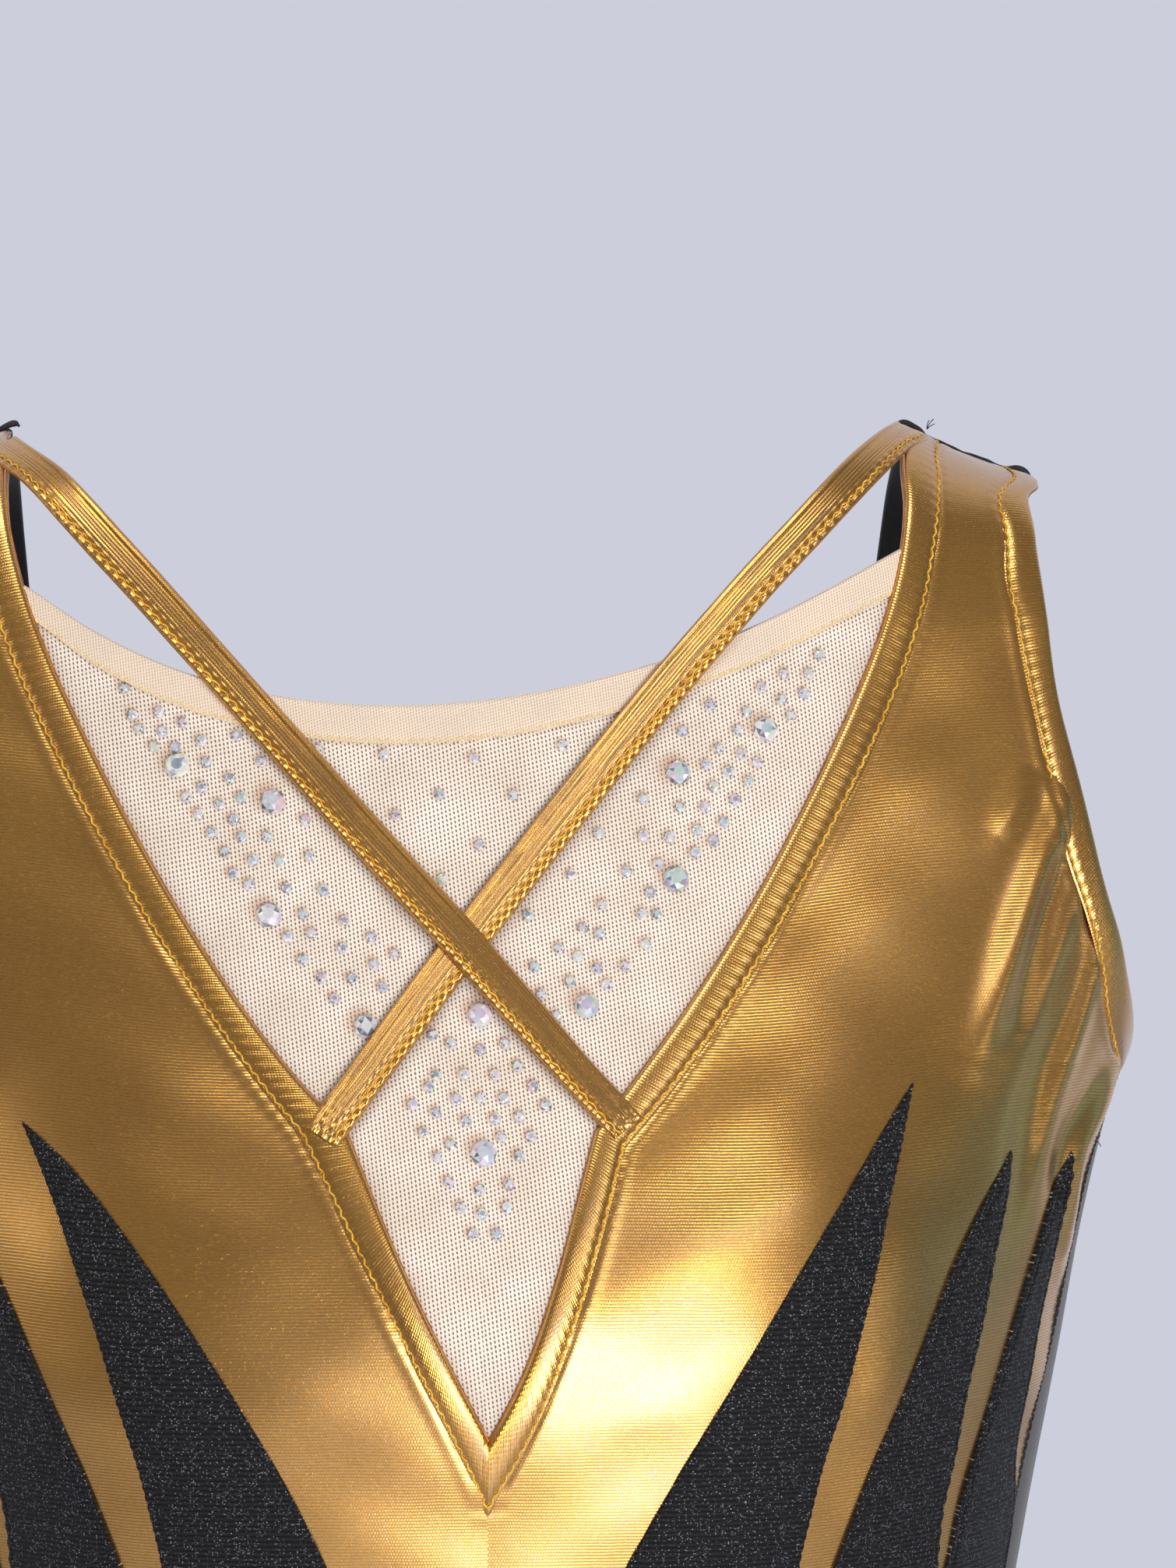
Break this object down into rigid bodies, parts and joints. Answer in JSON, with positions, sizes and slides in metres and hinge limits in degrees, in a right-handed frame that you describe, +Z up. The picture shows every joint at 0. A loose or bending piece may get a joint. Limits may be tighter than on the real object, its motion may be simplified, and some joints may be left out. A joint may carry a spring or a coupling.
{
  "type": "cheer uniform",
  "caption": "Sleeveless competition leotard: gold foil front with a nude net inset, crossed straps, crystals and black flame appliques, black back.",
  "frame": {"origin": "midway between the two shoulder crests, at crest height, where the garment hangs from", "axes": "+Z up along the body, -Y the garment's front, +X to the right when the front is looked at"},
  "size_m": [0.3098, 0.229, 0.6661],
  "materials": {
    "gold_foil_spandex": "satin",
    "gold_foil_trim": "satin",
    "black_glitter_rib": "satin",
    "black_spandex": "matte",
    "nude_net": "matte",
    "nude_lining": "matte",
    "white_elastic": "matte",
    "crystal": "gloss"
  },
  "bodies": {
    "root": {"armhole_band_back_left": "black_spandex", "armhole_band_back_right": "black_spandex", "armhole_band_front_left": "gold_foil_trim", "armhole_band_front_right": "gold_foil_trim", "armhole_elastic_left": "white_elastic", "armhole_elastic_right": "white_elastic", "back_neck_band": "black_spandex", "back_neck_elastic": "white_elastic", "back_panel": "black_spandex", "cross_strap_left": "gold_foil_trim", "cross_strap_right": "gold_foil_trim", "crotch_gusset": "nude_lining", "flame_applique_left": "black_glitter_rib", "flame_applique_right": "black_glitter_rib", "front_bodice": "gold_foil_spandex", "front_lining": "nude_lining", "leg_band_left": "black_spandex", "leg_band_right": "black_spandex", "leg_elastic_left": "white_elastic", "leg_elastic_right": "white_elastic", "lower_back_panel": "black_spandex", "lower_front_panel": "black_glitter_rib", "mesh_inset": "nude_net", "mesh_top_hem": "nude_net", "neckline_band_left": "gold_foil_trim", "neckline_band_right": "gold_foil_trim", "neckline_elastic_left": "white_elastic", "neckline_elastic_right": "white_elastic", "rhinestone_large_01": "crystal", "rhinestone_large_02": "crystal", "rhinestone_large_03": "crystal", "rhinestone_large_04": "crystal", "rhinestone_large_05": "crystal", "rhinestone_large_06": "crystal", "rhinestone_large_07": "crystal", "rhinestone_large_08": "crystal", "rhinestone_large_09": "crystal", "rhinestone_large_10": "crystal"}
  },
  "joints": []
}
